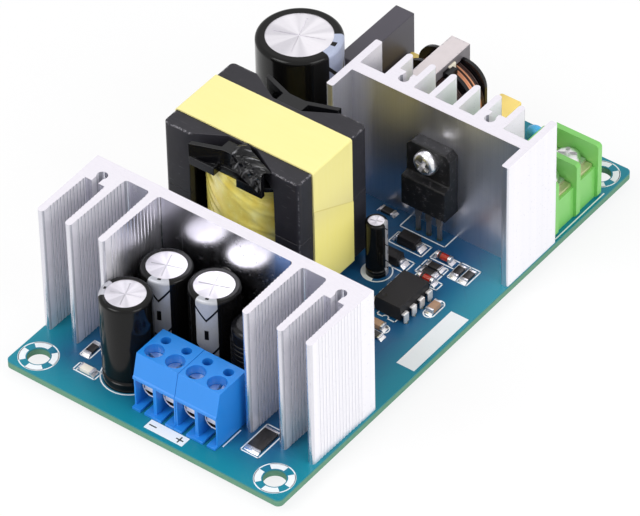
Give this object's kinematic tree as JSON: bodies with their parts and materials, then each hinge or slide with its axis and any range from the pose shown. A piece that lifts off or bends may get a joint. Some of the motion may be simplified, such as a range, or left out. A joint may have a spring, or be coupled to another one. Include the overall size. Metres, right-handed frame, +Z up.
{
  "type": "open-frame power supply module",
  "caption": "Open-frame AC to DC power supply board with finned heatsinks, a taped transformer, capacitors, a line filter and screw terminals.",
  "frame": {"origin": "centre of the four mounting holes, on the underside of the board", "axes": "+Z up out of the component side, +Y along the board towards the AC terminal, +X to the right seen from the DC terminal"},
  "size_m": [0.065, 0.114, 0.0367],
  "materials": {
    "board": "satin",
    "bare_aluminium": "brushed",
    "can_aluminium": "satin",
    "tinned_metal": "satin",
    "ferrite": "matte",
    "choke_ferrite": "matte",
    "black_plastic": "gloss",
    "yellow_tape": "satin",
    "winding_tape": "gloss",
    "shrink_sleeve": "gloss",
    "inductor_sleeve": "satin",
    "package_black": "matte",
    "bridge_black": "matte",
    "box_yellow": "satin",
    "copper_wire": "gloss",
    "terminal_green": "satin",
    "terminal_blue": "satin",
    "plated_brass": "satin",
    "disc_blue": "gloss",
    "fuse_body": "satin",
    "chip_black": "matte",
    "chip_tan": "matte",
    "glass_red": "gloss",
    "solder": "satin",
    "indicator_white": "satin"
  },
  "bodies": {
    "root": {"circuit_board": "board", "output_heatsink": "bare_aluminium", "primary_heatsink": "bare_aluminium", "heatsink_pins": "tinned_metal", "transformer_core_upper": "ferrite", "transformer_core_lower": "ferrite", "transformer_bobbin": "black_plastic", "transformer_winding": "winding_tape", "transformer_tape": "yellow_tape", "transformer_pins": "tinned_metal", "bulk_capacitor_can": "can_aluminium", "bulk_capacitor_sleeve": "shrink_sleeve", "output_capacitor_can_1": "can_aluminium", "output_capacitor_can_2": "can_aluminium", "output_capacitor_can_3": "can_aluminium", "output_capacitor_sleeve_1": "shrink_sleeve", "output_capacitor_sleeve_2": "shrink_sleeve", "output_capacitor_sleeve_3": "shrink_sleeve", "supply_capacitor_can": "can_aluminium", "supply_capacitor_sleeve": "shrink_sleeve", "capacitor_leads": "tinned_metal", "inductor_rod": "ferrite", "inductor_sleeve": "inductor_sleeve", "inductor_leads": "tinned_metal", "transistor_body": "package_black", "transistor_leads": "tinned_metal", "rectifier_body": "package_black", "rectifier_leads": "tinned_metal", "device_screws": "tinned_metal", "bridge_body": "bridge_black", "bridge_leads": "tinned_metal", "box_capacitor_1": "box_yellow", "box_capacitor_2": "box_yellow", "choke_core": "choke_ferrite", "choke_bobbin": "black_plastic", "choke_winding_1": "copper_wire", "choke_winding_2": "copper_wire", "choke_pins": "tinned_metal", "ac_terminal_housing": "terminal_green", "ac_terminal_screws": "tinned_metal", "ac_terminal_washers": "tinned_metal", "ac_terminal_contacts": "plated_brass", "dc_terminal_housing_1": "terminal_blue", "dc_terminal_housing_2": "terminal_blue", "dc_terminal_screws": "tinned_metal", "dc_terminal_cages": "plated_brass", "dc_terminal_contacts": "plated_brass", "disc_capacitor": "disc_blue", "controller_body": "package_black", "controller_leads": "tinned_metal", "optocoupler_body": "package_black", "optocoupler_leads": "tinned_metal", "fuse_body": "fuse_body", "fuse_leads": "tinned_metal", "chip_resistors": "chip_black", "chip_capacitors": "chip_tan", "indicator": "indicator_white", "moulded_diodes": "package_black", "glass_diodes": "glass_red", "solder_joints": "solder"}
  },
  "joints": []
}
